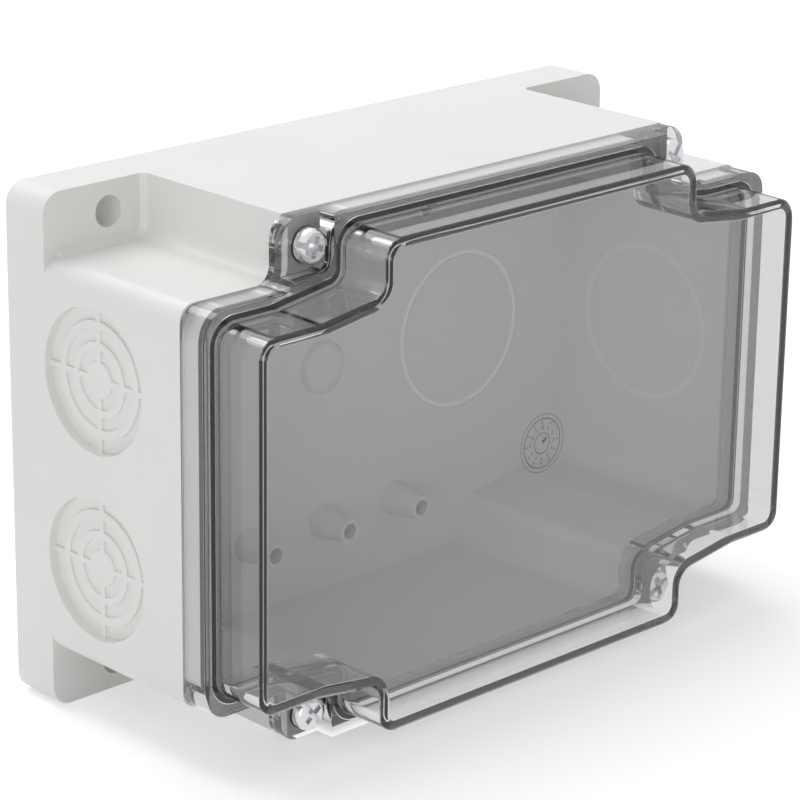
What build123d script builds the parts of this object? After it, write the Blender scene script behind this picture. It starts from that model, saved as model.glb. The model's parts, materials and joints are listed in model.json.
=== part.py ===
"""Surface-mounted electrical enclosure with a clear lid, in millimetres.

X runs to the right, Z up, and the front looks along -Y. The origin is the centre of the
back face, which lies against the wall. A depth is a distance from that face to the front.
"""
import math
import os

from build123d import *

# Overall size of the closed box
box_width = 176.0
box_height = 120.0
box_depth = 80.0

# Tray: walls, fixing lugs and corner notches
side_wall = 3.0
floor_depth = 5.3
back_rim_x = 13.0
back_rim_z = 20.0
back_recess = 2.3
lug_depth = 13.0
lug_corner_radius = 5.0
lug_core_width = 8.0
lug_core_height = 9.0
lug_core_wall = 2.6
lug_front_wall = 3.0
notch_width = 28.2
notch_height = 14.5
notch_root_radius = 3.5
notch_root_chamfer = 1.3
long_edge_radius = 3.8

# Fixing holes in the lugs
fixing_inset_x = 18.0
fixing_inset_z = 7.0
fixing_hole_radius = 3.6

# Seal line: outline of the dome where it stands on the flange
flange_strip = 3.3
column_width = 10.4
dome_slant_run = 8.2
dome_slant_rise = 2.6
seal_corner_radius = 5.0
seal_root_radius = 3.6
seal_bend_radius = 12.0

# Joint between tray and lid: depth of the tray's rim, and what stands in front of it
rim_depth = 58.0
ear_thickness = 4.0
tongue_height = 4.7
flange_thickness = 8.7
rib_clearance = 2.0

# Tongue, groove and gasket
skirt_wall = 1.7
tongue_wall = 1.0
gasket_thickness = 1.5
gasket_clearance = 0.15

# Lid
lid_wall = 2.5
ear_overhang = 3.6
lid_corner_radius = 5.0
lid_root_radius = 4.0
pocket_step_x = 3.1
pocket_step_z = 2.2
pocket_radius = 4.6
dome_draft = 1.0
dome_edge = 1.2

# Lid screws, their washers and the columns they go into
screw_inset_x = 3.1
screw_inset_z = 6.4
screw_head_radius = 4.0
screw_head_height = 2.6
screw_shank_radius = 1.75
screw_length = 18.5
washer_radius = 4.1
washer_thickness = 0.7
running_clearance = 0.1
lid_hole_radius = 2.3
bore_length = 22.5
column_core_depth = 28.0
column_core_wall = 2.5

# Inner bosses that carry a plate or a rail
boss_pitch = 24.0
boss_count = 3
boss_row_inset = 20.8
boss_height = 10.0
boss_root_radius = 4.3
boss_tip_radius = 2.9
boss_hole_radius = 2.0

# Side knock-outs
knockout_depth = 29.0
knockout_gap = 10.4
knockout_radius = 16.5
knockout_sink = 2.25
knockout_rings = ((11.3, 13.3), (6.8, 8.5), (0.0, 4.1))
large_knockout_depth = 31.8
large_knockout_radius = 20.1
large_knockout_rings = ((0.0, 4.1),)
ridge_height = 0.5
spoke_width = 1.3

# Marks on the inner back wall
rear_ring_x = 46.0
rear_ring_radius = 20.4
rear_ring_width = 1.6
rear_ring_sink = 0.3
gate_radius = 6.9
gate_height = 0.4

# Values that follow from the sizes above
half_width = box_width / 2
half_height = box_height / 2
column_wall_x = half_width - notch_width
notch_floor_z = half_height - notch_height
fixing_spacing_x = box_width - 2 * fixing_inset_x
fixing_spacing_z = box_height - 2 * fixing_inset_z
dome_wall_x = column_wall_x - column_width
dome_slant_end_x = column_wall_x + dome_slant_run
seal_half_width = half_width - flange_strip
seal_half_height = half_height - flange_strip
seal_floor_z = notch_floor_z - flange_strip
cavity_grow = flange_strip - side_wall
tongue_grow = cavity_grow + tongue_wall
groove_grow = flange_strip - skirt_wall
ear_front_depth = rim_depth + ear_thickness
tongue_depth = rim_depth + tongue_height
rib_back_depth = rim_depth + rib_clearance
flange_back_depth = tongue_depth + gasket_thickness
flange_front_depth = rim_depth + flange_thickness
screw_x = column_wall_x - screw_inset_x
screw_z = half_height - screw_inset_z
screw_seat_depth = ear_front_depth + washer_thickness
bore_radius = screw_shank_radius + running_clearance
boss_row_z = half_height - boss_row_inset
knockout_z = knockout_radius + knockout_gap / 2


def front_plane(depth):
    """Plane across the box at a depth, looking to the front: local x is X and local y is Z."""
    return Plane.XZ.offset(depth)


def side_plane(x):
    """Plane parallel to the side faces: local x is Y, local y is Z and the normal is +X."""
    return Plane.YZ.offset(x)


def mirrored_outline(corners, radii):
    """Closed outline from the rounded line of its first quarter, mirrored left and down."""
    with BuildSketch(mode=Mode.PRIVATE) as outline:
        with BuildLine():
            FilletPolyline(*corners, radius=radii)
            mirror(about=Plane.YZ)
            mirror(about=Plane.XZ)
        make_face()
    return outline.sketch_local


def notched_outline(wall_x, ear_radius, root_radius, corner_radius):
    """Rectangle of the box without its four corner notches, whose inner walls stand at wall_x."""
    corners = (
        (0, half_height),
        (wall_x, half_height),
        (wall_x, notch_floor_z),
        (half_width, notch_floor_z),
        (half_width, 0),
    )
    return mirrored_outline(corners, (ear_radius, root_radius, corner_radius))


def seal_outline(grow=0.0):
    """Outline of the seal line, whose notch floors slope, made larger all round by grow."""
    corners = (
        (0, seal_half_height + grow),
        (dome_wall_x + grow, seal_half_height + grow),
        (dome_wall_x + grow, seal_floor_z + dome_slant_rise + grow),
        (dome_slant_end_x + grow, seal_floor_z + grow),
        (seal_half_width + grow, seal_floor_z + grow),
        (seal_half_width + grow, 0),
    )
    radii = (
        seal_corner_radius + grow,
        seal_root_radius - grow,
        seal_bend_radius,
        seal_corner_radius + grow,
    )
    return mirrored_outline(corners, radii)


def seal_ring(inner_grow, outer_grow):
    """Ring between two outlines that run beside the seal line."""
    with BuildSketch(mode=Mode.PRIVATE) as ring:
        add(seal_outline(outer_grow))
        add(seal_outline(inner_grow), mode=Mode.SUBTRACT)
    return ring.sketch_local


def knockout_marks(radius, rings):
    """Raised rings of a knock-out with a disc in the middle and four spokes out to the wall."""
    with BuildSketch(mode=Mode.PRIVATE) as marks:
        for inner, outer in rings:
            with BuildSketch(mode=Mode.PRIVATE) as ring:
                Circle(outer)
                if inner > 0:
                    Circle(inner, mode=Mode.SUBTRACT)
            add(ring.sketch_local)
        Rectangle(2 * radius, spoke_width)
        Rectangle(spoke_width, 2 * radius)
    return marks.sketch_local


# Tray with its fixing lugs, screw columns, knock-outs and inner bosses
with BuildPart() as base_housing:
    # Back plate whose corners are the fixing lugs
    with BuildSketch(front_plane(0)):
        RectangleRounded(box_width, box_height, lug_corner_radius)
    extrude(amount=lug_depth)

    # Body with its four corner notches, blended where it rises from the lugs
    with BuildSketch(front_plane(0)):
        add(notched_outline(column_wall_x, 0, notch_root_radius, 0))
    extrude(amount=rim_depth)
    notch_root_edges = (
        base_housing.edges()
        .filter_by_position(Axis.Y, -lug_depth, -lug_depth)
        .filter_by(lambda edge: abs(edge.center().X) > column_wall_x - notch_root_radius)
        .filter_by(lambda edge: abs(edge.center().X) < half_width - lug_corner_radius)
        .filter_by(lambda edge: abs(edge.center().Z) > notch_floor_z - notch_root_radius)
        .filter_by(lambda edge: abs(edge.center().Z) < half_height - lug_corner_radius)
    )
    chamfer(notch_root_edges, length=notch_root_chamfer)

    # Long edges between the notch floors and the sides, rounded down to the lugs
    corner_cut_height = long_edge_radius + notch_root_chamfer
    with BuildSketch(front_plane(lug_depth)):
        corner_cut_x = half_width - long_edge_radius / 2
        corner_cut_z = notch_floor_z - long_edge_radius + corner_cut_height / 2
        with GridLocations(2 * corner_cut_x, 2 * corner_cut_z, 2, 2):
            Rectangle(long_edge_radius, corner_cut_height)
        arc_centre_x = half_width - long_edge_radius
        arc_centre_z = notch_floor_z - long_edge_radius
        with GridLocations(2 * arc_centre_x, 2 * arc_centre_z, 2, 2):
            Circle(long_edge_radius, mode=Mode.SUBTRACT)
    extrude(amount=rim_depth - lug_depth, mode=Mode.SUBTRACT)

    # Tongue that enters the lid's groove, the inside of the tray and the relief behind its floor
    with BuildSketch(front_plane(rim_depth)):
        add(seal_outline(tongue_grow))
    extrude(amount=tongue_depth - rim_depth)
    with BuildSketch(front_plane(floor_depth)):
        add(seal_outline(cavity_grow))
    extrude(amount=tongue_depth - floor_depth, mode=Mode.SUBTRACT)
    with BuildSketch(front_plane(0)):
        Rectangle(box_width - 2 * back_rim_x, box_height - 2 * back_rim_z)
    extrude(amount=back_recess, mode=Mode.SUBTRACT)

    # Fixing lugs: a hole through each, and a core from the back beside it
    lug_core_x = half_width - lug_core_wall - lug_core_width / 2
    lug_core_z = half_height - lug_core_wall - lug_core_height / 2
    with BuildSketch(front_plane(0)):
        with GridLocations(2 * lug_core_x, 2 * lug_core_z, 2, 2):
            Rectangle(lug_core_width, lug_core_height)
    extrude(amount=lug_depth - lug_front_wall, mode=Mode.SUBTRACT)
    with BuildSketch(front_plane(0)):
        with GridLocations(fixing_spacing_x, fixing_spacing_z, 2, 2):
            Circle(fixing_hole_radius)
    extrude(amount=lug_depth, mode=Mode.SUBTRACT)

    # Screw columns: a blind bore from the front and a core from the back
    with BuildSketch(front_plane(rim_depth)):
        with GridLocations(2 * screw_x, 2 * screw_z, 2, 2):
            Circle(bore_radius)
    extrude(amount=-bore_length, mode=Mode.SUBTRACT)
    column_core_low_x = dome_wall_x + cavity_grow + column_core_wall
    column_core_low_z = seal_floor_z + dome_slant_rise + cavity_grow + column_core_wall
    column_core_width = column_wall_x - column_core_wall - column_core_low_x
    column_core_height = half_height - column_core_wall - column_core_low_z
    column_core_pitch_x = 2 * column_core_low_x + column_core_width
    column_core_pitch_z = 2 * column_core_low_z + column_core_height
    with BuildSketch(front_plane(0)):
        with GridLocations(column_core_pitch_x, column_core_pitch_z, 2, 2):
            Rectangle(column_core_width, column_core_height)
    extrude(amount=column_core_depth, mode=Mode.SUBTRACT)

    # Inner bosses, tapered, each with a blind hole for a thread-forming screw
    boss_taper = math.degrees(math.atan2(boss_root_radius - boss_tip_radius, boss_height))
    with BuildSketch(front_plane(floor_depth)):
        with GridLocations(boss_pitch, 2 * boss_row_z, boss_count, 2):
            Circle(boss_root_radius)
    extrude(amount=boss_height, taper=boss_taper)
    with BuildSketch(front_plane(floor_depth + boss_height)):
        with GridLocations(boss_pitch, 2 * boss_row_z, boss_count, 2):
            Circle(boss_hole_radius)
    extrude(amount=-boss_height, mode=Mode.SUBTRACT)

    # Left side: two knock-outs, sunk into the wall, with raised rings and spokes
    left_x = -half_width
    with BuildSketch(side_plane(left_x)):
        with Locations((-knockout_depth, knockout_z), (-knockout_depth, -knockout_z)):
            Circle(knockout_radius)
    extrude(amount=knockout_sink, mode=Mode.SUBTRACT)
    with BuildSketch(side_plane(left_x + knockout_sink)):
        with Locations((-knockout_depth, knockout_z), (-knockout_depth, -knockout_z)):
            add(knockout_marks(knockout_radius, knockout_rings))
    extrude(amount=-ridge_height)

    # Right side: one large knock-out in the middle
    with BuildSketch(side_plane(half_width)):
        with Locations((-large_knockout_depth, 0)):
            Circle(large_knockout_radius)
    extrude(amount=-knockout_sink, mode=Mode.SUBTRACT)
    with BuildSketch(side_plane(half_width - knockout_sink)):
        with Locations((-large_knockout_depth, 0)):
            add(knockout_marks(large_knockout_radius, large_knockout_rings))
    extrude(amount=ridge_height)

    # Marks on the inner back wall: the ring of the rear knock-out and the moulding gate
    with BuildSketch(front_plane(floor_depth)):
        with Locations((rear_ring_x, 0)):
            Circle(rear_ring_radius)
            Circle(rear_ring_radius - rear_ring_width, mode=Mode.SUBTRACT)
    extrude(amount=-rear_ring_sink, mode=Mode.SUBTRACT)
    with BuildSketch(front_plane(floor_depth)):
        Circle(gate_radius)
    extrude(amount=gate_height)
base_housing.part.label = "base_housing"

# Clear lid: flange with lowered screw ears, groove and raised dome
with BuildPart() as lid:
    with BuildSketch(front_plane(rim_depth)):
        lid_ear_x = column_wall_x + ear_overhang
        add(notched_outline(lid_ear_x, lid_corner_radius, lid_root_radius, lid_corner_radius))
    extrude(amount=flange_front_depth - rim_depth)

    # Ears stand lower than the flange, in pockets that are open to the two outer sides
    pocket_x = dome_wall_x + pocket_step_x
    pocket_z = notch_floor_z + pocket_step_z
    pocket_width = half_width - pocket_x + pocket_radius
    pocket_height = half_height - pocket_z + pocket_radius
    with BuildSketch(front_plane(ear_front_depth)) as pockets:
        with GridLocations(2 * pocket_x + pocket_width, 2 * pocket_z + pocket_height, 2, 2):
            Rectangle(pocket_width, pocket_height)
        fillet(pockets.vertices(), radius=pocket_radius)
    extrude(amount=flange_front_depth - ear_front_depth, mode=Mode.SUBTRACT)

    # Groove for the tongue, and the rib on its inner side that carries on the dome's wall
    with BuildSketch(front_plane(rim_depth)):
        add(seal_outline(groove_grow))
    extrude(amount=flange_back_depth - rim_depth, mode=Mode.SUBTRACT)
    with BuildSketch(front_plane(rib_back_depth)):
        add(seal_outline())
    extrude(amount=flange_back_depth - rib_back_depth)

    # Raised dome with draft and a broken front edge, hollowed from behind
    with BuildSketch(front_plane(flange_front_depth)):
        add(seal_outline())
    extrude(amount=box_depth - flange_front_depth, taper=dome_draft)
    chamfer(lid.faces().sort_by(Axis.Y)[0].edges(), length=dome_edge)
    with BuildSketch(front_plane(rib_back_depth)):
        add(seal_outline(-lid_wall))
    extrude(amount=box_depth - lid_wall - rib_back_depth, mode=Mode.SUBTRACT)

    # Clearance holes for the lid screws
    with BuildSketch(front_plane(rim_depth)):
        with GridLocations(2 * screw_x, 2 * screw_z, 2, 2):
            Circle(lid_hole_radius)
    extrude(amount=ear_front_depth - rim_depth, mode=Mode.SUBTRACT)
lid.part.label = "lid"

# Sealing ring between the tongue of the tray and the floor of the lid's groove
with BuildPart() as lid_gasket:
    with BuildSketch(front_plane(tongue_depth)):
        add(seal_ring(gasket_clearance, groove_grow - gasket_clearance))
    extrude(amount=flange_back_depth - tongue_depth)
lid_gasket.part.label = "lid_gasket"


def lid_screw(x, z, label):
    """Lid screw with a round head; its axis runs to the front at x and z."""
    with BuildPart() as screw:
        with BuildSketch(front_plane(screw_seat_depth)):
            with Locations((x, z)):
                Circle(screw_head_radius)
        extrude(amount=screw_head_height)
        with BuildSketch(front_plane(screw_seat_depth)):
            with Locations((x, z)):
                Circle(screw_shank_radius)
        extrude(amount=-screw_length)
    screw.part.label = label
    return screw.part


def screw_washer(x, z, label):
    """Soft flat washer under a screw head."""
    with BuildPart() as washer:
        with BuildSketch(front_plane(ear_front_depth)):
            with Locations((x, z)):
                Circle(washer_radius)
                Circle(bore_radius, mode=Mode.SUBTRACT)
        extrude(amount=washer_thickness)
    washer.part.label = label
    return washer.part


pieces = [base_housing.part, lid.part, lid_gasket.part]
screw_places = ((-screw_x, screw_z), (screw_x, screw_z), (-screw_x, -screw_z), (screw_x, -screw_z))
for number, (place_x, place_z) in enumerate(screw_places, start=1):
    pieces.append(lid_screw(place_x, place_z, f"lid_screw_{number}"))
    pieces.append(screw_washer(place_x, place_z, f"screw_washer_{number}"))

os.makedirs("parts", exist_ok=True)
for piece in pieces:
    export_step(piece, f"parts/{piece.label}.step")
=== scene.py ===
"""Looks of the surface-mounted electrical enclosure with a clear smoke-grey lid.

Everything is in metres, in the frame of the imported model: X right, Z up, the lid faces -Y and the
origin is the centre of the back face. A name that ends in _mm holds millimetres.
"""

import json
import logging
import math
from collections.abc import Callable
from dataclasses import dataclass, field
from enum import Enum
from functools import partial
from typing import ClassVar

import bmesh
import bpy
from mathutils import Matrix, Vector

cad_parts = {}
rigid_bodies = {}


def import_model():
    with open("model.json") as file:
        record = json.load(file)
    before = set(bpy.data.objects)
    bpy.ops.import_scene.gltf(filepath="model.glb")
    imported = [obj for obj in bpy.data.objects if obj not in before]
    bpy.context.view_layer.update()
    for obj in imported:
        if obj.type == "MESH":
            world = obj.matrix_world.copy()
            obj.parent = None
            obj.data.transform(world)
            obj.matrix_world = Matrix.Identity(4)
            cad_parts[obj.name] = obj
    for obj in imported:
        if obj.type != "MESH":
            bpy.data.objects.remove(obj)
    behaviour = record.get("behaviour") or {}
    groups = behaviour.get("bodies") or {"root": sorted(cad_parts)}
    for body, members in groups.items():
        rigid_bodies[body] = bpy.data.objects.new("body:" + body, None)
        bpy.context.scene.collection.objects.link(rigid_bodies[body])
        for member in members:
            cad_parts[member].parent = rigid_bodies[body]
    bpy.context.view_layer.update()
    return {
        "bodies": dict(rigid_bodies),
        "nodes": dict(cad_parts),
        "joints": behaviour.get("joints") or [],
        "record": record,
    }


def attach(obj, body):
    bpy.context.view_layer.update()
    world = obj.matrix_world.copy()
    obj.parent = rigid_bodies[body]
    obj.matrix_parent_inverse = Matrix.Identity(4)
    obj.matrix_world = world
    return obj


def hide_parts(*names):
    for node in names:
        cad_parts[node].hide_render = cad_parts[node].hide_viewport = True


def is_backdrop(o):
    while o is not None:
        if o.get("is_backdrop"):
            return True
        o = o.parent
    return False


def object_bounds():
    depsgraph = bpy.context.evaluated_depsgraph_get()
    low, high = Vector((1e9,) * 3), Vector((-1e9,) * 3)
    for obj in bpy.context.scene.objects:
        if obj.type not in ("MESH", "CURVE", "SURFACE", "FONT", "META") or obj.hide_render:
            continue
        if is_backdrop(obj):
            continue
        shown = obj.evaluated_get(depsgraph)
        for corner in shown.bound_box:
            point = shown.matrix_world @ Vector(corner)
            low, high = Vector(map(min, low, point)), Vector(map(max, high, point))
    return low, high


MM = 0.001
SENSOR_WIDTH_MM = 36.0
WELD_MM = 0.001
SUNK_MM = 0.02
FACE_WEIGHT = 80
TEXT_CURVE_STEPS = 3
CRISP_ANGLE = math.radians(32)
FLAT_ANGLE = math.radians(0.4)
FRONTWARD = Matrix(((1, 0, 0, 0), (0, 0, -1, 0), (0, 1, 0, 0), (0, 0, 0, 1)))
LEFTWARD = Matrix(((0, 0, -1, 0), (0, 1, 0, 0), (1, 0, 0, 0), (0, 0, 0, 1)))

log = logging.getLogger("enclosure")


class Slot(Enum):
    """Material slots of the record."""

    TRAY = "tray"
    LID = "lid"
    GASKET = "gasket"
    SCREW = "screw"
    WASHER = "washer"


def linear(hex_colour: str, alpha: float = 1.0) -> tuple[float, float, float, float]:
    """Turn an sRGB hex value into a linear colour.

    Args:
        hex_colour: colour such as "#E4E4E2".
        alpha: fourth channel of the result.

    Returns:
        Linear red, green, blue and alpha.
    """
    channels = [int(hex_colour[i : i + 2], 16) / 255 for i in (1, 3, 5)]
    red, green, blue = [
        c / 12.92 if c <= 0.04045 else ((c + 0.055) / 1.055) ** 2.4 for c in channels
    ]
    return red, green, blue, alpha


def add_node(
    tree: bpy.types.NodeTree, kind: str, inputs: dict | None = None, **settings: object
) -> bpy.types.Node:
    """Add one node to a tree, set its properties, and fill or link its inputs.

    Args:
        tree: tree that gets the node.
        kind: node type, such as "ShaderNodeTexNoise".
        inputs: input name or index to a plain value, or to the output socket it is linked from.
        settings: properties of the node itself.

    Returns:
        The new node.
    """
    node = tree.nodes.new(kind)
    for name, value in settings.items():
        setattr(node, name, value)
    for key, value in (inputs or {}).items():
        if isinstance(value, bpy.types.NodeSocket):
            tree.links.new(value, node.inputs[key])
        else:
            node.inputs[key].default_value = value
    return node


def calc(tree: bpy.types.NodeTree, operation: str, *values: object) -> bpy.types.NodeSocket:
    """Add one math node.

    Args:
        tree: tree that gets the node.
        operation: what it does, such as "MAXIMUM".
        values: plain values or output sockets, in their order.

    Returns:
        Its result.
    """
    node = add_node(tree, "ShaderNodeMath", dict(enumerate(values)), operation=operation)
    return node.outputs["Value"]


def noise(
    tree: bpy.types.NodeTree, grain_mm: float, detail: float, roughness: float = 0.5
) -> bpy.types.NodeSocket:
    """Add a noise texture that is fixed to the object.

    Args:
        tree: tree that gets it.
        grain_mm: size of its coarsest grain.
        detail: number of finer layers.
        roughness: how strong the finer layers are.

    Returns:
        Its grey value.
    """
    place = add_node(tree, "ShaderNodeTexCoord").outputs["Object"]
    inputs = {
        "Vector": place,
        "Scale": 1 / (grain_mm * MM),
        "Detail": detail,
        "Roughness": roughness,
    }
    return add_node(tree, "ShaderNodeTexNoise", inputs).outputs["Fac"]


def bump(
    tree: bpy.types.NodeTree, height: bpy.types.NodeSocket, strength: float, depth_mm: float
) -> bpy.types.NodeSocket:
    """Add a bump.

    Args:
        tree: tree that gets it.
        height: grey value that it follows.
        strength: how much of it shows.
        depth_mm: its depth from black to white.

    Returns:
        The bent normal.
    """
    inputs = {"Height": height, "Strength": strength, "Distance": depth_mm * MM}
    return add_node(tree, "ShaderNodeBump", inputs).outputs["Normal"]


def blend(
    tree: bpy.types.NodeTree, factor: bpy.types.NodeSocket, colour: str, other_colour: str
) -> bpy.types.NodeSocket:
    """Blend two sRGB colours by a grey value.

    Args:
        tree: tree that gets the node.
        factor: grey value, where 1 gives the second colour.
        colour: first colour.
        other_colour: second colour.

    Returns:
        The blended colour.
    """
    inputs = {"Factor": factor, "A": linear(colour), "B": linear(other_colour)}
    return add_node(tree, "ShaderNodeMix", inputs, data_type="RGBA").outputs["Result"]


def map_range(
    tree: bpy.types.NodeTree, value: bpy.types.NodeSocket, **limits: float
) -> bpy.types.NodeSocket:
    """Stretch a value from one range to another.

    Args:
        tree: tree that gets the node.
        value: grey value.
        limits: from_min, from_max, to_min and to_max where they aren't 0 and 1.

    Returns:
        The stretched value.
    """
    inputs = {name.replace("_", " ").title(): limit for name, limit in limits.items()}
    return add_node(tree, "ShaderNodeMapRange", {"Value": value, **inputs}).outputs["Result"]


def new_material(name: str) -> tuple[bpy.types.Material, bpy.types.NodeTree, bpy.types.Node]:
    """Make an empty node material.

    Args:
        name: name of the material.

    Returns:
        The material, its node tree and its output node.
    """
    material = bpy.data.materials.new(name)
    material.use_nodes = True
    tree = material.node_tree
    tree.nodes.clear()
    output = add_node(tree, "ShaderNodeOutputMaterial")
    return material, tree, output


@dataclass(frozen=True)
class MouldedAbs:
    """Injection-moulded light grey ABS: an opaque satin skin, spark-eroded to a fine even grain."""

    name: str = "light_grey_moulded_abs"
    colour: str = "#E6E6E4"
    shade_colour: str = "#DFDFDD"
    roughness: float = 0.42
    roughness_swing: float = 0.10
    ior: float = 1.54
    specular_level: float = 0.42
    grain_mm: float = 0.45
    grain_depth_mm: float = 0.012
    grain_strength: float = 0.5
    flow_mm: float = 38.0

    def build(self) -> bpy.types.Material:
        """Make the material: grain as bump and gloss, and a colour that drifts with the flow."""
        material, tree, output = new_material(self.name)
        flow = noise(tree, self.flow_mm, detail=3.0, roughness=0.45)
        grain = noise(tree, self.grain_mm, detail=2.0, roughness=0.6)
        swing = self.roughness_swing / 2
        gloss = map_range(
            tree, grain, to_min=self.roughness - swing, to_max=self.roughness + swing
        )
        shader = add_node(
            tree,
            "ShaderNodeBsdfPrincipled",
            {
                "Base Color": blend(tree, flow, self.colour, self.shade_colour),
                "Roughness": gloss,
                "Normal": bump(tree, grain, self.grain_strength, self.grain_depth_mm),
                "IOR": self.ior,
                "Specular IOR Level": self.specular_level,
            },
        )
        tree.links.new(shader.outputs["BSDF"], output.inputs["Surface"])
        return material


@dataclass(frozen=True)
class SmokePolycarbonate:
    """Moulded polycarbonate, polished in the tool and tinted smoke grey through its mass."""

    colour: str = "#FFFFFF"
    lamp_colour: str = "#FCFCFC"
    tint: str = "#8C8C8E"
    density_per_m: float = 84.0
    roughness: float = 0.015
    ior: float = 1.585
    wave_mm: float = 26.0
    wave_depth_mm: float = 0.010
    wave_strength: float = 0.35

    def build(self) -> bpy.types.Material:
        """Make the material: clear refraction, a tint that deepens with the path, slight waves."""
        material, tree, output = new_material("smoke_grey_polycarbonate")
        wave = noise(tree, self.wave_mm, detail=1.0)
        clear = add_node(
            tree,
            "ShaderNodeBsdfPrincipled",
            {
                "Base Color": linear(self.colour),
                "Roughness": self.roughness,
                "IOR": self.ior,
                "Transmission Weight": 1.0,
                "Normal": bump(tree, wave, self.wave_strength, self.wave_depth_mm),
            },
        )
        see_through = add_node(
            tree, "ShaderNodeBsdfTransparent", {"Color": linear(self.lamp_colour)}
        )
        ray = add_node(tree, "ShaderNodeLightPath").outputs
        lamp_ray = calc(tree, "MAXIMUM", ray["Is Shadow Ray"], ray["Is Diffuse Ray"])
        surface = add_node(
            tree,
            "ShaderNodeMixShader",
            {0: lamp_ray, 1: clear.outputs["BSDF"], 2: see_through.outputs["BSDF"]},
        )
        tint = add_node(
            tree,
            "ShaderNodeVolumeAbsorption",
            {"Color": linear(self.tint), "Density": self.density_per_m},
        )
        tree.links.new(surface.outputs["Shader"], output.inputs["Surface"])
        tree.links.new(tint.outputs["Volume"], output.inputs["Volume"])
        return material


@dataclass(frozen=True)
class MouldedRubber:
    """Black EPDM rubber, moulded or punched from sheet: matt, with a dusty fine grain."""

    name: str
    colour: str = "#1D1D1F"
    dust_colour: str = "#2A2A2C"
    roughness: float = 0.72
    ior: float = 1.5
    grain_mm: float = 0.3
    grain_depth_mm: float = 0.02
    grain_strength: float = 0.4

    def build(self) -> bpy.types.Material:
        """Make the material with its grain as bump and as a slight change of tone."""
        material, tree, output = new_material(self.name)
        grain = noise(tree, self.grain_mm, detail=3.0)
        shader = add_node(
            tree,
            "ShaderNodeBsdfPrincipled",
            {
                "Base Color": blend(tree, grain, self.colour, self.dust_colour),
                "Roughness": self.roughness,
                "IOR": self.ior,
                "Normal": bump(tree, grain, self.grain_strength, self.grain_depth_mm),
            },
        )
        tree.links.new(shader.outputs["BSDF"], output.inputs["Surface"])
        return material


@dataclass(frozen=True)
class ZincPlatedSteel:
    """Cold-headed steel with bright zinc plating: pale, shiny and faintly mottled by the bath."""

    colour: str = "#DCDDE0"
    lowest_roughness: float = 0.16
    highest_roughness: float = 0.34
    mottle_mm: float = 0.6
    mottle_depth_mm: float = 0.02
    mottle_strength: float = 0.35

    def build(self) -> bpy.types.Material:
        """Make the material with a mottled gloss and fine bath grain as bump."""
        material, tree, output = new_material("bright_zinc_plated_steel")
        mottle = noise(tree, self.mottle_mm, detail=4.0)
        gloss = map_range(
            tree, mottle, to_min=self.lowest_roughness, to_max=self.highest_roughness
        )
        shader = add_node(
            tree,
            "ShaderNodeBsdfPrincipled",
            {
                "Base Color": linear(self.colour),
                "Metallic": 1.0,
                "Roughness": gloss,
                "Normal": bump(tree, mottle, self.mottle_strength, self.mottle_depth_mm),
            },
        )
        tree.links.new(shader.outputs["BSDF"], output.inputs["Surface"])
        return material


def new_object(name: str, data: bpy.types.ID) -> bpy.types.Object:
    """Make an object at the origin and link it to the scene.

    Args:
        name: name of the object.
        data: its mesh, curve, lamp or camera.

    Returns:
        The new object.
    """
    piece = bpy.data.objects.new(name, data)
    bpy.context.scene.collection.objects.link(piece)
    return piece


def object_from(name: str, shape: bmesh.types.BMesh) -> bpy.types.Object:
    """Turn an edited shape into an object, and free it.

    Args:
        name: name of the object.
        shape: the shape, which is used up.

    Returns:
        The new object.
    """
    mesh = bpy.data.meshes.new(name)
    shape.to_mesh(mesh)
    shape.free()
    return new_object(name, mesh)


def merged_copy(node: bpy.types.Object, name: str) -> bpy.types.Object:
    """Copy a CAD node's loose triangles into one joined mesh with flat faces as single polygons.

    Args:
        node: CAD object that is copied and left as it is.
        name: name of the new object.

    Returns:
        The new object at the origin.
    """
    shape = bmesh.new()
    shape.from_mesh(node.data)
    bmesh.ops.remove_doubles(shape, verts=shape.verts, dist=WELD_MM * MM)
    bmesh.ops.dissolve_limit(
        shape,
        angle_limit=FLAT_ANGLE,
        verts=shape.verts,
        edges=shape.edges,
        delimit={"NORMAL"},
    )
    return object_from(name, shape)


def round_edges(
    piece: bpy.types.Object,
    radius_mm: float,
    segments: int,
    rounder: Callable[[Vector, Vector], bool] | None = None,
    rounder_radius_mm: float = 0.0,
) -> None:
    """Give every crisp edge of a piece a small radius and smooth, weighted shading.

    Args:
        piece: mesh object that gets the modifiers.
        radius_mm: width of the rounding.
        segments: number of facets across it.
        rounder: picks, by an edge's two ends in metres, the edges with a larger radius.
        rounder_radius_mm: width of the rounding on those edges.
    """
    widest = max(radius_mm, rounder_radius_mm)
    shape = bmesh.new()
    shape.from_mesh(piece.data)
    weights = shape.edges.layers.float.new("bevel_weight_edge")
    for edge in shape.edges:
        if len(edge.link_faces) == 2 and edge.calc_face_angle() > CRISP_ANGLE:
            ends = [vertex.co for vertex in edge.verts]
            width = rounder_radius_mm if rounder and rounder(*ends) else radius_mm
            edge[weights] = width / widest
    shape.to_mesh(piece.data)
    shape.free()
    for polygon in piece.data.polygons:
        polygon.use_smooth = True
    bevel = piece.modifiers.new("edge_radius", "BEVEL")
    bevel.width = widest * MM
    bevel.segments = segments
    bevel.limit_method = "WEIGHT"
    bevel.use_clamp_overlap = True
    bevel.harden_normals = True
    bevel.miter_outer = "MITER_ARC"
    weighted = piece.modifiers.new("weighted_normals", "WEIGHTED_NORMAL")
    weighted.keep_sharp = True
    weighted.weight = FACE_WEIGHT


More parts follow.
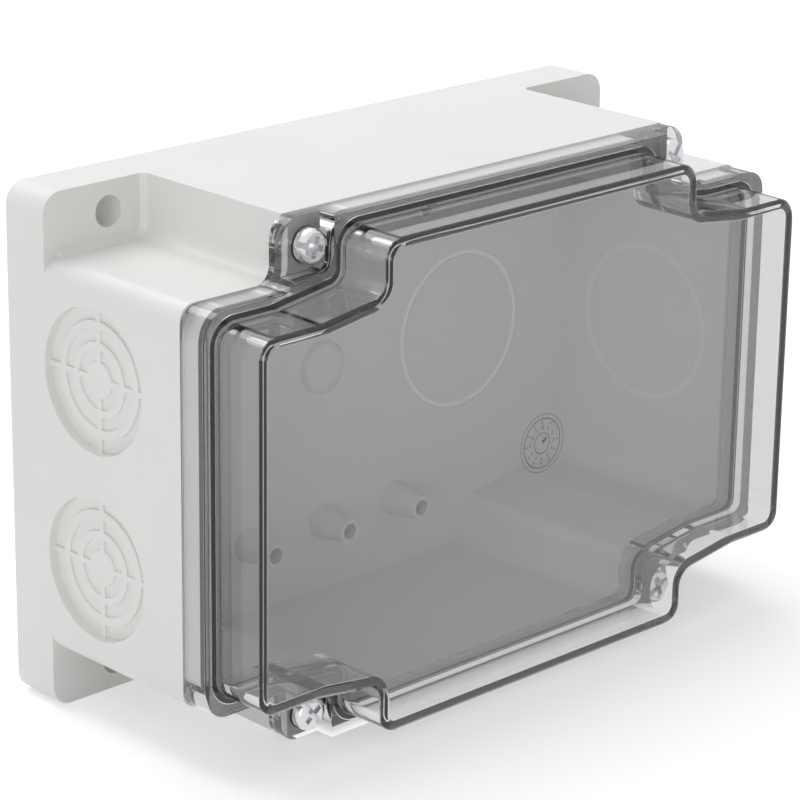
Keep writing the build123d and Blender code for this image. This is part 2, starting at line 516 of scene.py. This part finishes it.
def plain_mesh(host: bpy.types.Object) -> bpy.types.Object:
    """Turn an object's evaluated shape into its plain mesh, and drop its modifiers.

    Args:
        host: object with modifiers, or a text curve.

    Returns:
        A mesh object of the same name and place.
    """
    bpy.context.view_layer.update()
    evaluated = host.evaluated_get(bpy.context.evaluated_depsgraph_get())
    mesh = bpy.data.meshes.new_from_object(evaluated)
    name = host.name
    bpy.data.objects.remove(host)
    return new_object(name, mesh)


def fill_input(modifier: bpy.types.NodesModifier, name: str, value: object) -> None:
    """Set a node modifier's input by the identifier of the socket with that name.

    Args:
        modifier: Geometry Nodes modifier.
        name: name of the group input.
        value: value that it gets.
    """
    for item in modifier.node_group.interface.items_tree:
        if item.item_type == "SOCKET" and item.in_out == "INPUT" and item.name == name:
            modifier[item.identifier] = value
            return
    raise KeyError(name)


def join(name: str, pieces: list[bpy.types.Object]) -> bpy.types.Object:
    """Join mesh objects without modifiers into one.

    Args:
        name: name of the joined object.
        pieces: objects that are used up.

    Returns:
        The joined object at the origin.
    """
    shape = bmesh.new()
    for piece in pieces:
        mesh = piece.data
        mesh.transform(piece.matrix_basis)
        shape.from_mesh(mesh)
        bpy.data.objects.remove(piece)
    return object_from(name, shape)


def turned(
    name: str, outline: list[tuple[float, float]], smooth: bool = False, sides: int = 96
) -> bpy.types.Object:
    """Turn a closed outline round the Z axis into a ring or a disc.

    Args:
        name: name of the new object.
        outline: radius and height of each corner in millimetres; a radius of 0 lies on the axis.
        smooth: whether its faces are shaded as one curved surface.
        sides: number of facets round it.

    Returns:
        The new object.
    """
    shape = bmesh.new()
    rounds = []
    for turn in range(sides):
        angle = math.tau * turn / sides
        corners = [(r * math.cos(angle) * MM, r * math.sin(angle) * MM, z * MM) for r, z in outline]
        rounds.append([shape.verts.new(corner) for corner in corners])
    for turn in range(sides):
        near, far = rounds[turn], rounds[(turn + 1) % sides]
        for step in range(len(outline)):
            after = (step + 1) % len(outline)
            shape.faces.new((near[step], far[step], far[after], near[after]))
    bmesh.ops.remove_doubles(shape, verts=shape.verts, dist=WELD_MM * MM)
    bmesh.ops.recalc_face_normals(shape, faces=shape.faces)
    for face in shape.faces:
        face.smooth = smooth
    return object_from(name, shape)


def ring(name: str, inner_mm: float, outer_mm: float, height_mm: float) -> bpy.types.Object:
    """Make a flat ring, lying on the XY plane, whose sloped flanks take a third of it at most.

    Args:
        name: name of the new object.
        inner_mm: inner radius at its foot.
        outer_mm: outer radius at its foot.
        height_mm: how far it stands up.

    Returns:
        The new object.
    """
    slope = min(height_mm, (outer_mm - inner_mm) / 3)
    foot = -SUNK_MM
    outline = [
        (inner_mm, foot),
        (inner_mm + slope, height_mm),
        (outer_mm - slope, height_mm),
        (outer_mm, foot),
    ]
    return turned(name, outline)


def low_dome(name: str, radius_mm: float, height_mm: float, steps: int = 8) -> bpy.types.Object:
    """Make a low dome, the top of a ball, lying on the XY plane.

    Args:
        name: name of the new object.
        radius_mm: radius at its foot.
        height_mm: height in its middle.
        steps: number of facets from the foot to the middle.

    Returns:
        The new object.
    """
    ball = (radius_mm**2 + height_mm**2) / (2 * height_mm)
    outline = [(0, -SUNK_MM), (radius_mm, -SUNK_MM)]
    for step in range(steps + 1):
        reach = radius_mm * (1 - step / steps)
        outline.append((reach, height_mm - ball + math.sqrt(ball**2 - reach**2)))
    return turned(name, outline, smooth=True)


def raised_text(body: str, size_mm: float, height_mm: float) -> bpy.types.Object:
    """Make raised plain characters, centred on the origin of the XY plane.

    Args:
        body: the characters.
        size_mm: size of the type.
        height_mm: how far it stands up.

    Returns:
        The new mesh object.
    """
    curve = bpy.data.curves.new(f"number_{body}", "FONT")
    curve.body = body
    curve.size = size_mm * MM
    curve.align_x = "CENTER"
    curve.align_y = "CENTER"
    curve.extrude = height_mm * MM
    curve.resolution_u = TEXT_CURVE_STEPS
    return plain_mesh(new_object(f"number_{body}", curve))


def dress(piece: bpy.types.Object, finish: bpy.types.Material) -> None:
    """Put one finish on a whole piece.

    Args:
        piece: mesh object.
        finish: material that it gets.
    """
    piece.data.materials.clear()
    piece.data.materials.append(finish)


@dataclass
class Tray:
    """Moulded tray that stands on the wall: walls, lugs, knock-outs, columns and inner bosses."""

    finish: MouldedAbs = field(default_factory=MouldedAbs)
    edge_radius_mm: float = 0.35
    edge_segments: int = 3
    lug_edge_radius_mm: float = 1.0
    lug_depth_mm: float = 13.0
    lug_corner_from_mm: tuple[float, float] = (83.0, 45.0)
    lug_face_tolerance_mm: float = 0.02
    floor_depth_mm: float = 5.3
    pin_mark_radius_mm: float = 6.0
    pin_mark_width_mm: float = 0.25
    pin_mark_height_mm: float = 0.04
    pin_marks_mm: tuple[tuple[float, float], ...] = (
        (-9.4, -30.6),
        (-9.4, 30.6),
        (-62.0, 0.0),
        (74.0, 0.0),
    )
    gate_radius_mm: float = 6.5
    gate_rise_mm: float = 1.9
    gate_depth_mm: float = 5.7
    # The knock-out webs' paler colours are painted glow: they stand in for daylight shining through
    # the thin webs, fainter on the side web.
    web_finish: MouldedAbs = field(
        default_factory=partial(
            MouldedAbs, name="abs_of_rear_web_with_painted_glow", colour="#FAFAF8", shade_colour="#F6F6F4"
        )
    )
    faint_web_finish: MouldedAbs = field(
        default_factory=partial(
            MouldedAbs, name="abs_of_side_web_with_faint_painted_glow", colour="#ECECEA", shade_colour="#E6E6E4"
        )
    )
    rear_web_x_mm: float = 46.0
    rear_web_radii_mm: tuple[float, float] = (18.85, 20.35)
    rear_web_sink_mm: float = 0.3
    rear_web_height_mm: float = 0.32
    side_web_y_mm: float = -31.8
    side_web_radii_mm: tuple[float, float] = (18.6, 20.1)
    side_web_height_mm: float = 0.05
    side_wall_x_mm: float = 85.0

    def lug_edge(self, start: Vector, end: Vector) -> bool:
        """Tell whether an edge is an outer front edge of a lug."""
        from_x, from_z = (size * MM for size in self.lug_corner_from_mm)
        tolerance = self.lug_face_tolerance_mm * MM
        return all(
            abs(place.y + self.lug_depth_mm * MM) < tolerance
            and abs(place.x) > from_x
            and abs(place.z) > from_z
            for place in (start, end)
        )

    def pin_marks(self) -> list[bpy.types.Object]:
        """Make the faint rings that the mould's ejector pins leave on the inner back wall."""
        outer, height = self.pin_mark_radius_mm, self.pin_mark_height_mm
        marks = []
        for index, (x, z) in enumerate(self.pin_marks_mm):
            mark = ring(f"pin_mark_{index}", outer - self.pin_mark_width_mm, outer, height)
            place = Vector((x, -self.floor_depth_mm, z)) * MM
            mark.matrix_basis = Matrix.Translation(place) @ FRONTWARD
            marks.append(mark)
        return marks

    def gate(self) -> bpy.types.Object:
        """Make the crowned middle of the gate disc, where the melt came in."""
        crown = low_dome("gate_crown", self.gate_radius_mm, self.gate_rise_mm)
        place = Vector((0, -self.gate_depth_mm, 0)) * MM
        crown.matrix_basis = Matrix.Translation(place) @ FRONTWARD
        return crown

    def thin_webs(self) -> list[bpy.types.Object]:
        """Make the thin webs of two knock-outs; build gives them paler finishes, which are painted
        glow of the daylight that shines through them.
        """
        rear = ring("rear_knockout_web", *self.rear_web_radii_mm, self.rear_web_height_mm)
        rear_y = self.rear_web_sink_mm - self.floor_depth_mm
        rear_place = Vector((self.rear_web_x_mm, rear_y, 0)) * MM
        rear.data.transform(Matrix.Translation(rear_place) @ FRONTWARD)
        side = ring("side_knockout_web", *self.side_web_radii_mm, self.side_web_height_mm)
        side_place = Vector((self.side_wall_x_mm, self.side_web_y_mm, 0)) * MM
        side.data.transform(Matrix.Translation(side_place) @ LEFTWARD)
        return [rear, side]

    def build(self, frame: dict) -> list[bpy.types.Object]:
        """Build the tray from its CAD node, with the small radii of a moulding.


        Returns:
            The pieces made.
        """
        tray = merged_copy(frame["nodes"]["base_housing"], "tray")
        round_edges(
            tray, self.edge_radius_mm, self.edge_segments, self.lug_edge, self.lug_edge_radius_mm
        )
        marks = join("mould_marks", [*self.pin_marks(), self.gate()])
        rear, side = self.thin_webs()
        finish = self.finish.build()
        skins = {
            tray: finish,
            marks: finish,
            # Paler web finishes: painted glow of the light that shines through the thin webs.
            rear: self.web_finish.build(),
            side: self.faint_web_finish.build(),
        }
        for piece, skin in skins.items():
            dress(piece, skin)
            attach(piece, "tray")
        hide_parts("base_housing")
        return list(skins)


@dataclass
class DateDial:
    """Generic date dial that a mould insert leaves: rings, ticks, plain numbers and a pointer."""

    rim_radius_mm: float = 5.9
    rim_width_mm: float = 0.22
    halo_radius_mm: float = 6.9
    halo_width_mm: float = 0.12
    halo_share: float = 0.25
    hub_radius_mm: float = 2.5
    hub_width_mm: float = 0.18
    pointer_deg: float = 38.0
    pointer_start_mm: float = 0.2
    pointer_gap_mm: float = 0.6
    pointer_width_mm: float = 0.9
    tick_from_rim_mm: tuple[float, float] = (1.25, 0.45)
    tick_width_mm: float = 0.22
    tip_taper: int = 3
    months: int = 12
    number_radius_mm: float = 3.75
    number_size_mm: float = 1.15
    relief_mm: float = 0.05

    def tick(
        self, angle: float, inner_mm: float, outer_mm: float, width_mm: float
    ) -> bpy.types.Object:
        """Make one raised bar that points away from the dial's centre.

        Args:
            angle: its direction.
            inner_mm: radius where it starts.
            outer_mm: radius where it ends, in a point.
            width_mm: its width at the start.

        Returns:
            The new object.
        """
        half = width_mm / 2
        tip = half / self.tip_taper
        foot = [(inner_mm, -half), (outer_mm, -tip), (outer_mm, tip), (inner_mm, half)]
        mesh = bpy.data.meshes.new("tick")
        levels = (-SUNK_MM, self.relief_mm)
        points = [(x * MM, y * MM, z * MM) for z in levels for x, y in foot]
        sides = [(i, (i + 1) % 4, (i + 1) % 4 + 4, i + 4) for i in range(4)]
        mesh.from_pydata(points, [], [(3, 2, 1, 0), (4, 5, 6, 7), *sides])
        bar = new_object("tick", mesh)
        bar.matrix_basis = Matrix.Rotation(angle, 4, "Z")
        return bar

    def build(self, place: Matrix) -> bpy.types.Object:
        """Build the dial as one relief.

        Args:
            place: matrix from the dial's plane to the object.

        Returns:
            The joined dial.
        """
        rim, halo, hub = self.rim_radius_mm, self.halo_radius_mm, self.hub_radius_mm
        pointer = (math.radians(self.pointer_deg), self.pointer_start_mm, hub - self.pointer_gap_mm)
        pieces = [
            ring("dial_rim", rim - self.rim_width_mm, rim, self.relief_mm),
            ring("dial_halo", halo - self.halo_width_mm, halo, self.relief_mm * self.halo_share),
            ring("dial_hub", hub - self.hub_width_mm, hub, self.relief_mm),
            self.tick(*pointer, self.pointer_width_mm),
        ]
        tick_start, tick_end = (rim - gap for gap in self.tick_from_rim_mm)
        for month in range(1, self.months + 1):
            angle = math.radians(90 - 360 / self.months * month)
            pieces.append(self.tick(angle, tick_start, tick_end, self.tick_width_mm))
            number = raised_text(str(month), self.number_size_mm, self.relief_mm)
            spot = Vector((math.cos(angle), math.sin(angle), 0)) * self.number_radius_mm * MM
            number.matrix_basis = Matrix.Translation(spot)
            pieces.append(number)
        dial = join("date_dial", pieces)
        dial.data.transform(place)
        return dial


@dataclass
class Cover:
    """Clear lid with its sealing ring and the date dial of its mould."""

    finish: SmokePolycarbonate = field(default_factory=SmokePolycarbonate)
    seal_finish: MouldedRubber = field(
        default_factory=partial(MouldedRubber, "moulded_epdm_seal")
    )
    dial: DateDial = field(default_factory=DateDial)
    edge_radius_mm: float = 0.4
    dome_edge_radius_mm: float = 0.8
    edge_segments: int = 4
    seal_edge_radius_mm: float = 0.15
    seal_edge_segments: int = 2
    front_depth_mm: float = 80.0
    front_chamfer_mm: float = 1.3
    plate_thickness_mm: float = 2.5

    def dome_edge(self, start: Vector, end: Vector) -> bool:
        """Tell whether an edge borders the chamfer round the dome's front."""
        from_depth = (self.front_depth_mm - self.front_chamfer_mm) * MM
        return all(place.y < -from_depth for place in (start, end))

    def build(self, frame: dict) -> list[bpy.types.Object]:
        """Build the lid and its gasket from their CAD nodes.


        Returns:
            The pieces made.
        """
        lid = merged_copy(frame["nodes"]["lid"], "clear_lid")
        round_edges(
            lid, self.edge_radius_mm, self.edge_segments, self.dome_edge, self.dome_edge_radius_mm
        )
        inner_face = Vector((0, self.plate_thickness_mm - self.front_depth_mm, 0)) * MM
        inward = Matrix.Scale(-1, 4, (0, 0, 1))
        dial = self.dial.build(Matrix.Translation(inner_face) @ FRONTWARD @ inward)
        clear = self.finish.build()
        for piece in (lid, dial):
            dress(piece, clear)
            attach(piece, "cover")
        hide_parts("lid")

        gasket = merged_copy(frame["nodes"]["lid_gasket"], "gasket_ring")
        round_edges(gasket, self.seal_edge_radius_mm, self.seal_edge_segments)
        dress(gasket, self.seal_finish.build())
        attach(gasket, "cover")
        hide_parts("lid_gasket")
        return [lid, dial, gasket]


def moved(
    tree: bpy.types.NodeTree, mesh: bpy.types.NodeSocket, height: object, turn: object = 0.0
) -> bpy.types.NodeSocket:
    """Move geometry along Z and turn it round Z, in a node group.

    Args:
        tree: node group.
        mesh: geometry that is moved.
        height: how far, as a value or a socket.
        turn: angle, as a value or a socket.

    Returns:
        The moved geometry.
    """
    place = add_node(tree, "ShaderNodeCombineXYZ", {"Z": height}).outputs["Vector"]
    angles = add_node(tree, "ShaderNodeCombineXYZ", {"Z": turn}).outputs["Vector"]
    inputs = {"Geometry": mesh, "Translation": place, "Rotation": angles}
    return add_node(tree, "GeometryNodeTransform", inputs).outputs["Geometry"]


@dataclass(frozen=True)
class PanHeadScrew:
    """Sizes of a thread-forming pan-head screw with a combined slot and cross, in millimetres."""

    head_radius: float = 4.0
    head_height: float = 2.6
    edge_rounding: float = 1.15
    recess_width: float = 1.35
    slot_length: float = 9.0
    slot_depth: float = 1.2
    cross_length: float = 4.9
    cross_depth: float = 1.9
    shank_radius: float = 1.75
    core_radius: float = 1.3
    shank_length: float = 18.5
    tip_length: float = 2.2
    thread_pitch: float = 1.4
    head_sides: ClassVar[int] = 64
    head_rings: ClassVar[int] = 18
    head_top_share: ClassVar[float] = 0.99
    shank_sides: ClassVar[int] = 32
    tip_share: ClassVar[float] = 0.35
    thread_steps: ClassVar[int] = 24
    ridge_sides: ClassVar[int] = 8

    def bar(
        self, tree: bpy.types.NodeTree, given: bpy.types.NodeOutputs, kind: str, turn: object
    ) -> bpy.types.NodeSocket:
        """Make the block that cuts the slot or one arm of the cross into the head.

        Args:
            tree: node group.
            given: outputs of its input node.
            kind: "slot" or "cross".
            turn: its angle round the screw.

        Returns:
            The block, half of it above the head.
        """
        depth = calc(tree, "MULTIPLY", given[f"{kind}_depth"], 2.0)
        inputs = {"X": given[f"{kind}_length"], "Y": given["recess_width"], "Z": depth}
        size = add_node(tree, "ShaderNodeCombineXYZ", inputs).outputs["Vector"]
        block = add_node(tree, "GeometryNodeMeshCube", {"Size": size}).outputs["Mesh"]
        return moved(tree, block, given["head_height"], turn)

    def head(self, tree: bpy.types.NodeTree, given: bpy.types.NodeOutputs) -> bpy.types.NodeSocket:
        """Make the head: a cylinder whose upper edge is rounded, less its slot and cross.

        Args:
            tree: node group.
            given: outputs of its input node.

        Returns:
            The head, standing on the XY plane.
        """
        op = partial(calc, tree)
        blank = {"Radius": given["head_radius"], "Depth": given["head_height"]}
        cylinder = add_node(
            tree,
            "GeometryNodeMeshCylinder",
            {"Vertices": self.head_sides, "Fill Segments": self.head_rings, **blank},
        )
        disc = moved(tree, cylinder.outputs["Mesh"], op("MULTIPLY", given["head_height"], 0.5))
        position = add_node(tree, "GeometryNodeInputPosition").outputs[0]
        axes = add_node(tree, "ShaderNodeSeparateXYZ", {0: position}).outputs
        reach = op("SQRT", op("ADD", op("POWER", axes["X"], 2.0), op("POWER", axes["Y"], 2.0)))
        rounding = given["edge_rounding"]
        flat = op("SUBTRACT", given["head_radius"], rounding)
        over = op("MAXIMUM", op("SUBTRACT", reach, flat), 0.0)
        square = op("SUBTRACT", op("POWER", rounding, 2.0), op("POWER", over, 2.0))
        drop = op("SUBTRACT", rounding, op("SQRT", op("MAXIMUM", square, 0.0)))
        top = op("MULTIPLY", given["head_height"], self.head_top_share)
        on_top = op("GREATER_THAN", axes["Z"], top)
        fall = add_node(tree, "ShaderNodeCombineXYZ", {"Z": op("MULTIPLY", drop, -1.0)})
        rounded = add_node(
            tree,
            "GeometryNodeSetPosition",
            {"Geometry": disc, "Selection": on_top, "Offset": fall.outputs["Vector"]},
        )
        cut = add_node(
            tree,
            "GeometryNodeMeshBoolean",
            {"Mesh 1": rounded.outputs["Geometry"]},
            operation="DIFFERENCE",
            solver="EXACT",
        )
        across = op("ADD", given["turn"], math.pi / 2)
        for kind, turn in (("slot", given["turn"]), ("cross", across)):
            tree.links.new(self.bar(tree, given, kind, turn), cut.inputs["Mesh 2"])
        return cut.outputs["Mesh"]

    def shank(
        self, tree: bpy.types.NodeTree, given: bpy.types.NodeOutputs
    ) -> list[bpy.types.NodeSocket]:
        """Make the shank below the XY plane.

        Args:
            tree: node group.
            given: outputs of its input node.

        Returns:
            The thread, the point and the core.
        """
        op = partial(calc, tree)
        radius, pitch = given["core_radius"], given["thread_pitch"]
        length = op("SUBTRACT", given["shank_length"], given["tip_length"])
        cylinder = add_node(
            tree,
            "GeometryNodeMeshCylinder",
            {"Vertices": self.shank_sides, "Radius": radius, "Depth": length},
        )
        core = moved(tree, cylinder.outputs["Mesh"], op("MULTIPLY", length, -0.5))
        cone = add_node(
            tree,
            "GeometryNodeMeshCone",
            {
                "Vertices": self.shank_sides,
                "Radius Top": radius,
                "Radius Bottom": op("MULTIPLY", radius, self.tip_share),
                "Depth": given["tip_length"],
            },
        )
        point = moved(tree, cone.outputs["Mesh"], op("MULTIPLY", given["shank_length"], -1.0))
        run = op("SUBTRACT", length, pitch)
        helix = add_node(
            tree,
            "GeometryNodeCurveSpiral",
            {
                "Resolution": self.thread_steps,
                "Rotations": op("DIVIDE", run, pitch),
                "Start Radius": radius,
                "End Radius": radius,
                "Height": run,
            },
        )
        crest = op("SUBTRACT", given["shank_radius"], radius)
        ridge = add_node(
            tree,
            "GeometryNodeCurvePrimitiveCircle",
            {"Resolution": self.ridge_sides, "Radius": crest},
        )
        sweep = add_node(
            tree,
            "GeometryNodeCurveToMesh",
            {
                "Curve": helix.outputs["Curve"],
                "Profile Curve": ridge.outputs["Curve"],
                "Fill Caps": True,
            },
        )
        thread = moved(tree, sweep.outputs["Mesh"], op("MULTIPLY", length, -1.0))
        return [thread, point, core]

    def tree(self) -> bpy.types.NodeTree:
        """Build the node group of the screw, which points along +Z and is seated on the XY plane.

        Returns:
            The node group, with a named input for each size in metres, the turn and the finish.
        """
        tree = bpy.data.node_groups.new("pan_head_screw", "GeometryNodeTree")
        add_socket = tree.interface.new_socket
        add_socket("Geometry", in_out="OUTPUT", socket_type="NodeSocketGeometry")
        for size, value in vars(self).items():
            socket = add_socket(size, in_out="INPUT", socket_type="NodeSocketFloat")
            socket.default_value = value * MM
        add_socket("turn", in_out="INPUT", socket_type="NodeSocketFloat")
        add_socket("finish", in_out="INPUT", socket_type="NodeSocketMaterial")
        given = add_node(tree, "NodeGroupInput").outputs

        whole = add_node(tree, "GeometryNodeJoinGeometry")
        for part in (*self.shank(tree, given), self.head(tree, given)):
            tree.links.new(part, whole.inputs["Geometry"])
        smooth = add_node(
            tree, "GeometryNodeSetShadeSmooth", {"Geometry": whole.outputs["Geometry"]}
        )
        angle = add_node(tree, "GeometryNodeInputMeshEdgeAngle").outputs["Unsigned Angle"]
        crisp = calc(tree, "GREATER_THAN", angle, CRISP_ANGLE)
        creased = add_node(
            tree,
            "GeometryNodeSetShadeSmooth",
            {"Geometry": smooth.outputs["Geometry"], "Selection": crisp, "Shade Smooth": False},
            domain="EDGE",
        )
        real = add_node(
            tree, "GeometryNodeRealizeInstances", {"Geometry": creased.outputs["Geometry"]}
        )
        plated = add_node(
            tree,
            "GeometryNodeSetMaterial",
            {"Geometry": real.outputs["Geometry"], "Material": given["finish"]},
        )
        add_node(tree, "NodeGroupOutput", {"Geometry": plated.outputs["Geometry"]})
        return tree


@dataclass
class LidScrews:
    """Four pan-head screws with a slot-and-cross recess, each on a soft washer."""

    screw: PanHeadScrew = field(default_factory=PanHeadScrew)
    seat_depth_mm: float = 62.7
    inset_x_mm: float = 56.7
    inset_z_mm: float = 53.6
    sides: tuple[tuple[int, int], ...] = ((-1, 1), (1, 1), (-1, -1), (1, -1))
    turns_deg: tuple[float, ...] = (-16.0, 58.0, -53.0, 24.0)
    finish: ZincPlatedSteel = field(default_factory=ZincPlatedSteel)
    washer_finish: MouldedRubber = field(
        default_factory=partial(MouldedRubber, "punched_epdm_washer")
    )
    washer_edge_radius_mm: float = 0.12
    washer_edge_segments: int = 2

    def build(self, frame: dict) -> list[bpy.types.Object]:
        """Build the screws and washers.


        Returns:
            The pieces made.
        """
        steel = self.finish.build()
        rubber = self.washer_finish.build()
        tree = self.screw.tree()
        pieces = []
        for number, ((side_x, side_z), turn) in enumerate(zip(self.sides, self.turns_deg), start=1):
            name = f"pan_head_screw_{number}"
            host = new_object(name, bpy.data.meshes.new(name))
            nodes = host.modifiers.new("pan_head_screw", "NODES")
            nodes.node_group = tree
            fill_input(nodes, "turn", math.radians(turn))
            fill_input(nodes, "finish", steel)
            screw = plain_mesh(host)
            x, z = side_x * self.inset_x_mm, side_z * self.inset_z_mm
            seat = Vector((x, -self.seat_depth_mm, z)) * MM
            screw.data.transform(Matrix.Translation(seat) @ FRONTWARD)
            dress(screw, steel)
            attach(screw, f"screw_{number}")
            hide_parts(f"lid_screw_{number}")
            washer = merged_copy(
                frame["nodes"][f"screw_washer_{number}"], f"soft_washer_{number}"
            )
            round_edges(washer, self.washer_edge_radius_mm, self.washer_edge_segments)
            dress(washer, rubber)
            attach(washer, f"washer_{number}")
            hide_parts(f"screw_washer_{number}")
            pieces += [screw, washer]
        return pieces


@dataclass(frozen=True)
class Softbox:
    """Square soft lamp: its name, place and side in metres, and power in watts."""

    name: str
    place: tuple[float, float, float]
    side: float
    watts: float


@dataclass
class Studio:
    """Pale floor, white surroundings, soft lamps and the camera at the photograph's angle."""

    camera_place_mm: tuple[float, float, float] = (-497.48, -544.19, 243.43)
    yaw_deg: float = 44.226
    pitch_deg: float = 18.951
    roll_deg: float = 0.777
    lens_mm: float = 145.253
    clip_start: float = 0.01
    floor_side: float = 6.0
    floor_colour: str = "#FAFAFA"
    floor_roughness: float = 0.5
    floor_lift: float = 0.32
    fade_start: float = 0.6
    fade_end: float = 1.1
    white: str = "#FFFFFF"
    world_strength: float = 0.50
    lamp_target: tuple[float, float, float] = (0.0, -0.04, 0.0)
    lamps: tuple[Softbox, ...] = (
        Softbox("overhead_softbox", (0.05, 0.50, 1.20), 1.1, 11.0),
        Softbox("left_softbox", (-1.22, -0.75, 0.08), 0.9, 6.5),
    )

    def camera(self) -> bpy.types.Object:
        """Make the camera and set it as the scene's own.

        Returns:
            The camera object.
        """
        yaw, pitch, roll = (math.radians(a) for a in (self.yaw_deg, self.pitch_deg, self.roll_deg))
        ahead = math.cos(pitch)
        forward = Vector((math.sin(yaw) * ahead, math.cos(yaw) * ahead, -math.sin(pitch)))
        level = Vector((math.cos(yaw), -math.sin(yaw), 0))
        upright = level.cross(forward)
        right = math.cos(roll) * level + math.sin(roll) * upright
        up = math.cos(roll) * upright - math.sin(roll) * level
        turn = Matrix((right, up, -forward)).transposed().to_4x4()
        data = bpy.data.cameras.new("photo_camera")
        data.lens = self.lens_mm
        data.sensor_width = SENSOR_WIDTH_MM
        data.clip_start = self.clip_start
        camera = new_object("photo_camera", data)
        camera.matrix_world = Matrix.Translation(Vector(self.camera_place_mm) * MM) @ turn
        bpy.context.scene.camera = camera
        return camera

    def glow(self, tree: bpy.types.NodeTree, strength: object) -> bpy.types.NodeSocket:
        """Make a white light-giving shader.

        Args:
            tree: material tree.
            strength: a value or a socket.

        Returns:
            The shader output.
        """
        inputs = {"Color": linear(self.white), "Strength": strength}
        return add_node(tree, "ShaderNodeEmission", inputs).outputs["Emission"]

    def backdrop_shader(
        self, tree: bpy.types.NodeTree, lit: bpy.types.NodeSocket
    ) -> bpy.types.NodeSocket:
        """Show plain white to mirrors and glass, and to the camera where the floor is far away.

        Args:
            tree: material tree.
            lit: shader output that carries the light and shadow.

        Returns:
            The mixed shader output.
        """
        ray = add_node(tree, "ShaderNodeLightPath").outputs
        bent = calc(tree, "MAXIMUM", ray["Is Glossy Ray"], ray["Is Transmission Ray"])
        place = add_node(tree, "ShaderNodeTexCoord").outputs["Object"]
        reach = add_node(tree, "ShaderNodeVectorMath", {0: place}, operation="LENGTH")
        fade = map_range(
            tree, reach.outputs["Value"], from_min=self.fade_start, from_max=self.fade_end
        )
        far = calc(tree, "MULTIPLY", fade, ray["Is Camera Ray"])
        plain = calc(tree, "MAXIMUM", bent, far)
        lift = self.glow(tree, calc(tree, "MULTIPLY", ray["Is Camera Ray"], self.floor_lift))
        brighter = add_node(tree, "ShaderNodeAddShader", {0: lit, 1: lift}).outputs["Shader"]
        inputs = {0: plain, 1: brighter, 2: self.glow(tree, 1.0)}
        return add_node(tree, "ShaderNodeMixShader", inputs).outputs["Shader"]

    def floor(self) -> bpy.types.Object:
        """Make the pale floor under the object, which keeps its soft shadow.

        Returns:
            The floor object.
        """
        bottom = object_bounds()[0][2]
        half = self.floor_side / 2
        corners = [(x * half, y * half, bottom) for x, y in ((-1, -1), (1, -1), (1, 1), (-1, 1))]
        mesh = bpy.data.meshes.new("floor")
        mesh.from_pydata(corners, [], [(0, 1, 2, 3)])
        floor = new_object("floor", mesh)
        material, tree, output = new_material("pale_floor_paint")
        paint = add_node(
            tree,
            "ShaderNodeBsdfDiffuse",
            {"Color": linear(self.floor_colour), "Roughness": self.floor_roughness},
        )
        shader = self.backdrop_shader(tree, paint.outputs["BSDF"])
        tree.links.new(shader, output.inputs["Surface"])
        floor.data.materials.append(material)
        floor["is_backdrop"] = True
        return floor

    def world(self) -> None:
        """Light the surroundings evenly, and show them white to the camera, metal and glass."""
        world = bpy.data.worlds.new("white_studio")
        world.use_nodes = True
        tree = world.node_tree
        tree.nodes.clear()
        output = add_node(tree, "ShaderNodeOutputWorld")
        ray = add_node(tree, "ShaderNodeLightPath").outputs
        seen = calc(tree, "MAXIMUM", ray["Is Camera Ray"], ray["Is Glossy Ray"])
        seen = calc(tree, "MAXIMUM", seen, ray["Is Transmission Ray"])
        strength = map_range(tree, seen, to_min=self.world_strength, to_max=1.0)
        background = add_node(
            tree, "ShaderNodeBackground", {"Color": linear(self.white), "Strength": strength}
        )
        tree.links.new(background.outputs["Background"], output.inputs["Surface"])
        bpy.context.scene.world = world

    def light(self, softbox: Softbox) -> None:
        """Add one soft lamp that faces the middle of the object.

        Args:
            softbox: its name, place, side and power.
        """
        data = bpy.data.lights.new(softbox.name, "AREA")
        data.shape = "SQUARE"
        data.size = softbox.side
        data.energy = softbox.watts
        lamp = new_object(softbox.name, data)
        lamp.location = softbox.place
        aim = Vector(self.lamp_target) - Vector(softbox.place)
        lamp.rotation_euler = aim.to_track_quat("-Z", "Y").to_euler()

    def build(self) -> None:
        """Set the colour view, world, floor and lamps."""
        bpy.context.scene.view_settings.view_transform = "Standard"
        self.world()
        self.floor()
        for softbox in self.lamps:
            self.light(softbox)


def main() -> None:
    """Build the studio and every sub-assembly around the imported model."""
    logging.basicConfig(level=logging.INFO, format="%(name)s: %(message)s")
    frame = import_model()
    studio = Studio()
    studio.camera()
    studio.build()
    for assembly in (Tray(), Cover(), LidScrews()):
        for piece in assembly.build(frame):
            log.info("%s: %d polygons", piece.name, len(piece.data.polygons))
    bpy.context.view_layer.update()


if __name__ == "__main__":
    main()
